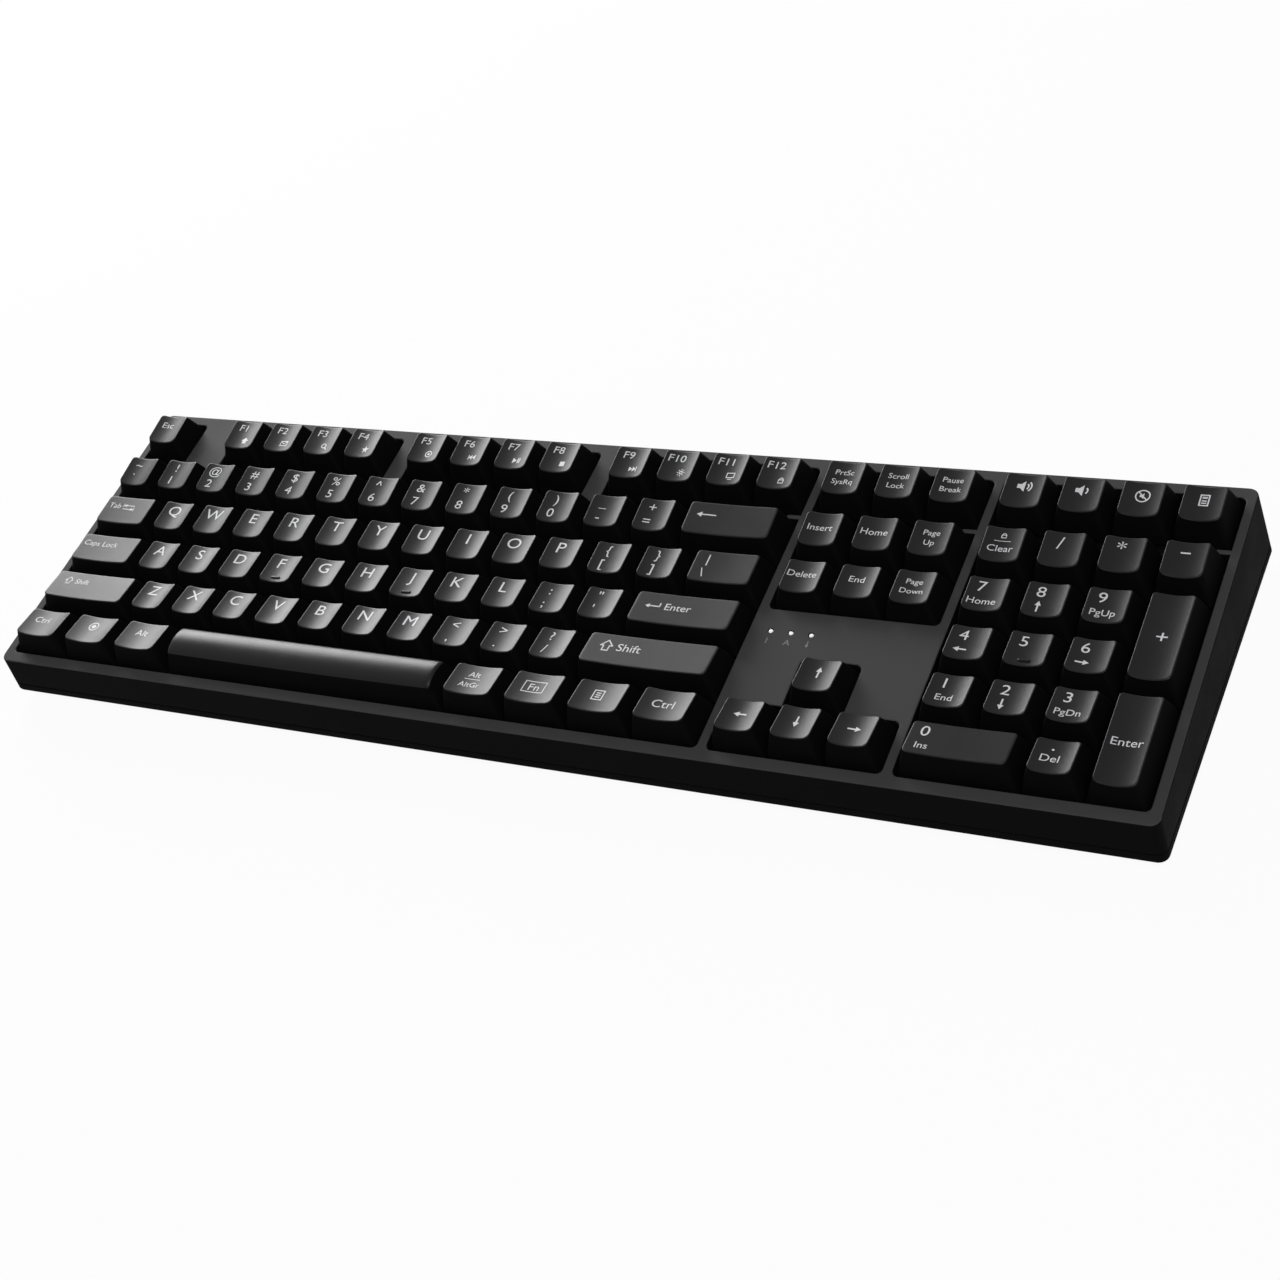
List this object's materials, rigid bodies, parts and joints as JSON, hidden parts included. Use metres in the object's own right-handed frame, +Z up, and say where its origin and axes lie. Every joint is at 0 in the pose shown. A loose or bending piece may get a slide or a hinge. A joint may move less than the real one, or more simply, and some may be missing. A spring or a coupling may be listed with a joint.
{
  "type": "mechanical keyboard",
  "caption": "Full-size computer keyboard: low sloped tray case, sculpted keycaps on spring switches, navigation block, number pad and fold-out rear feet.",
  "frame": {"origin": "on the desk, under the middle of the case", "axes": "+X runs to the right along the rows of keys, +Y points away from the typist, +Z points up"},
  "size_m": [0.4392, 0.1294, 0.0375],
  "materials": {
    "top_case": "fine-textured matt black ABS",
    "bottom_case": "fine-textured matt black ABS",
    "foot": "smooth matt black ABS",
    "keycap": "lightly grained satin black ABS with pale laser-cut legends",
    "plate": "black powder-coated steel",
    "board": "green lacquered glass-fibre board",
    "chip": "moulded epoxy",
    "switches": "black moulded nylon",
    "wire": "drawn spring steel",
    "socket": "tinned steel sleeve",
    "light_guide": "clear moulded acrylic",
    "rubber": "matt non-slip rubber"
  },
  "bodies": {
    "case": {"top_case": "top_case", "bottom_case": "bottom_case", "pad_front_left": "rubber", "pad_front_right": "rubber", "pad_rear_left": "rubber", "pad_rear_right": "rubber", "switch_plate": "plate", "circuit_board": "board", "controller_chip": "chip", "data_socket": "socket", "indicator_light_guide": "light_guide", "switches_main": "switches", "switches_navigation": "switches", "switches_numpad": "switches"},
    "foot_left": {"foot_left": "foot"},
    "foot_right": {"foot_right": "foot"},
    "space_stabiliser_wire": {"space_stabiliser_wire": "wire"},
    "key_escape": {"key_escape": "keycap"},
    "keys_f1_to_f4": {"keys_f1_to_f4": "keycap"},
    "keys_f5_to_f8": {"keys_f5_to_f8": "keycap"},
    "keys_f9_to_f12": {"keys_f9_to_f12": "keycap"},
    "keys_digits_left": {"keys_digits_left": "keycap"},
    "keys_digits_right": {"keys_digits_right": "keycap"},
    "key_backspace": {"key_backspace": "keycap"},
    "key_tab": {"key_tab": "keycap"},
    "keys_upper_left": {"keys_upper_left": "keycap"},
    "keys_upper_right": {"keys_upper_right": "keycap"},
    "key_backslash": {"key_backslash": "keycap"},
    "key_caps_lock": {"key_caps_lock": "keycap"},
    "keys_home_left": {"keys_home_left": "keycap"},
    "keys_home_right": {"keys_home_right": "keycap"},
    "key_enter": {"key_enter": "keycap"},
    "key_shift_left": {"key_shift_left": "keycap"},
    "keys_lower_left": {"keys_lower_left": "keycap"},
    "keys_lower_right": {"keys_lower_right": "keycap"},
    "key_shift_right": {"key_shift_right": "keycap"},
    "key_control_left": {"key_control_left": "keycap"},
    "key_system": {"key_system": "keycap"},
    "key_alt_left": {"key_alt_left": "keycap"},
    "key_space": {"key_space": "keycap"},
    "key_alt_right": {"key_alt_right": "keycap"},
    "key_function": {"key_function": "keycap"},
    "key_menu": {"key_menu": "keycap"},
    "key_control_right": {"key_control_right": "keycap"},
    "keys_print_to_pause": {"keys_print_to_pause": "keycap"},
    "keys_insert_to_page_up": {"keys_insert_to_page_up": "keycap"},
    "keys_delete_to_page_down": {"keys_delete_to_page_down": "keycap"},
    "key_arrow_up": {"key_arrow_up": "keycap"},
    "key_arrow_left": {"key_arrow_left": "keycap"},
    "key_arrow_down": {"key_arrow_down": "keycap"},
    "key_arrow_right": {"key_arrow_right": "keycap"},
    "keys_media": {"keys_media": "keycap"},
    "keys_numpad_operators": {"keys_numpad_operators": "keycap"},
    "keys_numpad_7_to_9": {"keys_numpad_7_to_9": "keycap"},
    "keys_numpad_4_to_6": {"keys_numpad_4_to_6": "keycap"},
    "keys_numpad_1_to_3": {"keys_numpad_1_to_3": "keycap"},
    "key_numpad_plus": {"key_numpad_plus": "keycap"},
    "key_numpad_enter": {"key_numpad_enter": "keycap"},
    "key_numpad_0": {"key_numpad_0": "keycap"},
    "key_numpad_point": {"key_numpad_point": "keycap"}
  },
  "joints": [
    {"name": "foot_left_fold", "type": "hinge", "parent": "case", "child": "foot_left", "pos_m": [-0.168, 0.0495, 0.0035], "axis": [1, 0, 0], "range_deg": [0, 84]},
    {"name": "foot_right_fold", "type": "hinge", "parent": "case", "child": "foot_right", "pos_m": [0.168, 0.0495, 0.0035], "axis": [1, 0, 0], "range_deg": [0, 84]},
    {"name": "escape_press", "type": "slide", "parent": "case", "child": "key_escape", "axis": [0, 0.0819, -0.9966], "range_m": [0, 0.004], "stiffness_N_per_m": 66, "springref_m": -0.005},
    {"name": "f1_to_f4_press", "type": "slide", "parent": "case", "child": "keys_f1_to_f4", "axis": [0, 0.0819, -0.9966], "range_m": [0, 0.004], "stiffness_N_per_m": 264, "springref_m": -0.005},
    {"name": "f5_to_f8_press", "type": "slide", "parent": "case", "child": "keys_f5_to_f8", "axis": [0, 0.0819, -0.9966], "range_m": [0, 0.004], "stiffness_N_per_m": 264, "springref_m": -0.005},
    {"name": "f9_to_f12_press", "type": "slide", "parent": "case", "child": "keys_f9_to_f12", "axis": [0, 0.0819, -0.9966], "range_m": [0, 0.004], "stiffness_N_per_m": 264, "springref_m": -0.005},
    {"name": "digits_left_press", "type": "slide", "parent": "case", "child": "keys_digits_left", "axis": [0, 0.0819, -0.9966], "range_m": [0, 0.004], "stiffness_N_per_m": 396, "springref_m": -0.005},
    {"name": "digits_right_press", "type": "slide", "parent": "case", "child": "keys_digits_right", "axis": [0, 0.0819, -0.9966], "range_m": [0, 0.004], "stiffness_N_per_m": 462, "springref_m": -0.005},
    {"name": "backspace_press", "type": "slide", "parent": "case", "child": "key_backspace", "axis": [0, 0.0819, -0.9966], "range_m": [0, 0.004], "stiffness_N_per_m": 66, "springref_m": -0.005},
    {"name": "tab_press", "type": "slide", "parent": "case", "child": "key_tab", "axis": [0, 0.0819, -0.9966], "range_m": [0, 0.004], "stiffness_N_per_m": 66, "springref_m": -0.005},
    {"name": "upper_left_press", "type": "slide", "parent": "case", "child": "keys_upper_left", "axis": [0, 0.0819, -0.9966], "range_m": [0, 0.004], "stiffness_N_per_m": 330, "springref_m": -0.005},
    {"name": "upper_right_press", "type": "slide", "parent": "case", "child": "keys_upper_right", "axis": [0, 0.0819, -0.9966], "range_m": [0, 0.004], "stiffness_N_per_m": 462, "springref_m": -0.005},
    {"name": "backslash_press", "type": "slide", "parent": "case", "child": "key_backslash", "axis": [0, 0.0819, -0.9966], "range_m": [0, 0.004], "stiffness_N_per_m": 66, "springref_m": -0.005},
    {"name": "caps_lock_press", "type": "slide", "parent": "case", "child": "key_caps_lock", "axis": [0, 0.0819, -0.9966], "range_m": [0, 0.004], "stiffness_N_per_m": 66, "springref_m": -0.005},
    {"name": "home_left_press", "type": "slide", "parent": "case", "child": "keys_home_left", "axis": [0, 0.0819, -0.9966], "range_m": [0, 0.004], "stiffness_N_per_m": 330, "springref_m": -0.005},
    {"name": "home_right_press", "type": "slide", "parent": "case", "child": "keys_home_right", "axis": [0, 0.0819, -0.9966], "range_m": [0, 0.004], "stiffness_N_per_m": 396, "springref_m": -0.005},
    {"name": "enter_press", "type": "slide", "parent": "case", "child": "key_enter", "axis": [0, 0.0819, -0.9966], "range_m": [0, 0.004], "stiffness_N_per_m": 66, "springref_m": -0.005},
    {"name": "shift_left_press", "type": "slide", "parent": "case", "child": "key_shift_left", "axis": [0, 0.0819, -0.9966], "range_m": [0, 0.004], "stiffness_N_per_m": 66, "springref_m": -0.005},
    {"name": "lower_left_press", "type": "slide", "parent": "case", "child": "keys_lower_left", "axis": [0, 0.0819, -0.9966], "range_m": [0, 0.004], "stiffness_N_per_m": 330, "springref_m": -0.005},
    {"name": "lower_right_press", "type": "slide", "parent": "case", "child": "keys_lower_right", "axis": [0, 0.0819, -0.9966], "range_m": [0, 0.004], "stiffness_N_per_m": 330, "springref_m": -0.005},
    {"name": "shift_right_press", "type": "slide", "parent": "case", "child": "key_shift_right", "axis": [0, 0.0819, -0.9966], "range_m": [0, 0.004], "stiffness_N_per_m": 66, "springref_m": -0.005},
    {"name": "control_left_press", "type": "slide", "parent": "case", "child": "key_control_left", "axis": [0, 0.0819, -0.9966], "range_m": [0, 0.004], "stiffness_N_per_m": 66, "springref_m": -0.005},
    {"name": "system_press", "type": "slide", "parent": "case", "child": "key_system", "axis": [0, 0.0819, -0.9966], "range_m": [0, 0.004], "stiffness_N_per_m": 66, "springref_m": -0.005},
    {"name": "alt_left_press", "type": "slide", "parent": "case", "child": "key_alt_left", "axis": [0, 0.0819, -0.9966], "range_m": [0, 0.004], "stiffness_N_per_m": 66, "springref_m": -0.005},
    {"name": "space_press", "type": "slide", "parent": "case", "child": "key_space", "axis": [0, 0.0819, -0.9966], "range_m": [0, 0.004], "stiffness_N_per_m": 66, "springref_m": -0.005},
    {"name": "alt_right_press", "type": "slide", "parent": "case", "child": "key_alt_right", "axis": [0, 0.0819, -0.9966], "range_m": [0, 0.004], "stiffness_N_per_m": 66, "springref_m": -0.005},
    {"name": "function_press", "type": "slide", "parent": "case", "child": "key_function", "axis": [0, 0.0819, -0.9966], "range_m": [0, 0.004], "stiffness_N_per_m": 66, "springref_m": -0.005},
    {"name": "menu_press", "type": "slide", "parent": "case", "child": "key_menu", "axis": [0, 0.0819, -0.9966], "range_m": [0, 0.004], "stiffness_N_per_m": 66, "springref_m": -0.005},
    {"name": "control_right_press", "type": "slide", "parent": "case", "child": "key_control_right", "axis": [0, 0.0819, -0.9966], "range_m": [0, 0.004], "stiffness_N_per_m": 66, "springref_m": -0.005},
    {"name": "print_to_pause_press", "type": "slide", "parent": "case", "child": "keys_print_to_pause", "axis": [0, 0.0819, -0.9966], "range_m": [0, 0.004], "stiffness_N_per_m": 198, "springref_m": -0.005},
    {"name": "insert_to_page_up_press", "type": "slide", "parent": "case", "child": "keys_insert_to_page_up", "axis": [0, 0.0819, -0.9966], "range_m": [0, 0.004], "stiffness_N_per_m": 198, "springref_m": -0.005},
    {"name": "delete_to_page_down_press", "type": "slide", "parent": "case", "child": "keys_delete_to_page_down", "axis": [0, 0.0819, -0.9966], "range_m": [0, 0.004], "stiffness_N_per_m": 198, "springref_m": -0.005},
    {"name": "arrow_up_press", "type": "slide", "parent": "case", "child": "key_arrow_up", "axis": [0, 0.0819, -0.9966], "range_m": [0, 0.004], "stiffness_N_per_m": 66, "springref_m": -0.005},
    {"name": "arrow_left_press", "type": "slide", "parent": "case", "child": "key_arrow_left", "axis": [0, 0.0819, -0.9966], "range_m": [0, 0.004], "stiffness_N_per_m": 66, "springref_m": -0.005},
    {"name": "arrow_down_press", "type": "slide", "parent": "case", "child": "key_arrow_down", "axis": [0, 0.0819, -0.9966], "range_m": [0, 0.004], "stiffness_N_per_m": 66, "springref_m": -0.005},
    {"name": "arrow_right_press", "type": "slide", "parent": "case", "child": "key_arrow_right", "axis": [0, 0.0819, -0.9966], "range_m": [0, 0.004], "stiffness_N_per_m": 66, "springref_m": -0.005},
    {"name": "media_press", "type": "slide", "parent": "case", "child": "keys_media", "axis": [0, 0.0819, -0.9966], "range_m": [0, 0.004], "stiffness_N_per_m": 264, "springref_m": -0.005},
    {"name": "numpad_operators_press", "type": "slide", "parent": "case", "child": "keys_numpad_operators", "axis": [0, 0.0819, -0.9966], "range_m": [0, 0.004], "stiffness_N_per_m": 264, "springref_m": -0.005},
    {"name": "numpad_7_to_9_press", "type": "slide", "parent": "case", "child": "keys_numpad_7_to_9", "axis": [0, 0.0819, -0.9966], "range_m": [0, 0.004], "stiffness_N_per_m": 198, "springref_m": -0.005},
    {"name": "numpad_4_to_6_press", "type": "slide", "parent": "case", "child": "keys_numpad_4_to_6", "axis": [0, 0.0819, -0.9966], "range_m": [0, 0.004], "stiffness_N_per_m": 198, "springref_m": -0.005},
    {"name": "numpad_1_to_3_press", "type": "slide", "parent": "case", "child": "keys_numpad_1_to_3", "axis": [0, 0.0819, -0.9966], "range_m": [0, 0.004], "stiffness_N_per_m": 198, "springref_m": -0.005},
    {"name": "numpad_plus_press", "type": "slide", "parent": "case", "child": "key_numpad_plus", "axis": [0, 0.0819, -0.9966], "range_m": [0, 0.004], "stiffness_N_per_m": 66, "springref_m": -0.005},
    {"name": "numpad_enter_press", "type": "slide", "parent": "case", "child": "key_numpad_enter", "axis": [0, 0.0819, -0.9966], "range_m": [0, 0.004], "stiffness_N_per_m": 66, "springref_m": -0.005},
    {"name": "numpad_0_press", "type": "slide", "parent": "case", "child": "key_numpad_0", "axis": [0, 0.0819, -0.9966], "range_m": [0, 0.004], "stiffness_N_per_m": 66, "springref_m": -0.005},
    {"name": "numpad_point_press", "type": "slide", "parent": "case", "child": "key_numpad_point", "axis": [0, 0.0819, -0.9966], "range_m": [0, 0.004], "stiffness_N_per_m": 66, "springref_m": -0.005},
    {"name": "space_wire_turn", "type": "hinge", "parent": "case", "child": "space_stabiliser_wire", "pos_m": [-0.08334, -0.05749, 0.01179], "axis": [1, 0, 0], "range_deg": [-25, 0]}
  ],
  "couplings": [
    {"joint": "space_wire_turn", "follows": "space_press", "rad_per_m": -104.72}
  ]
}
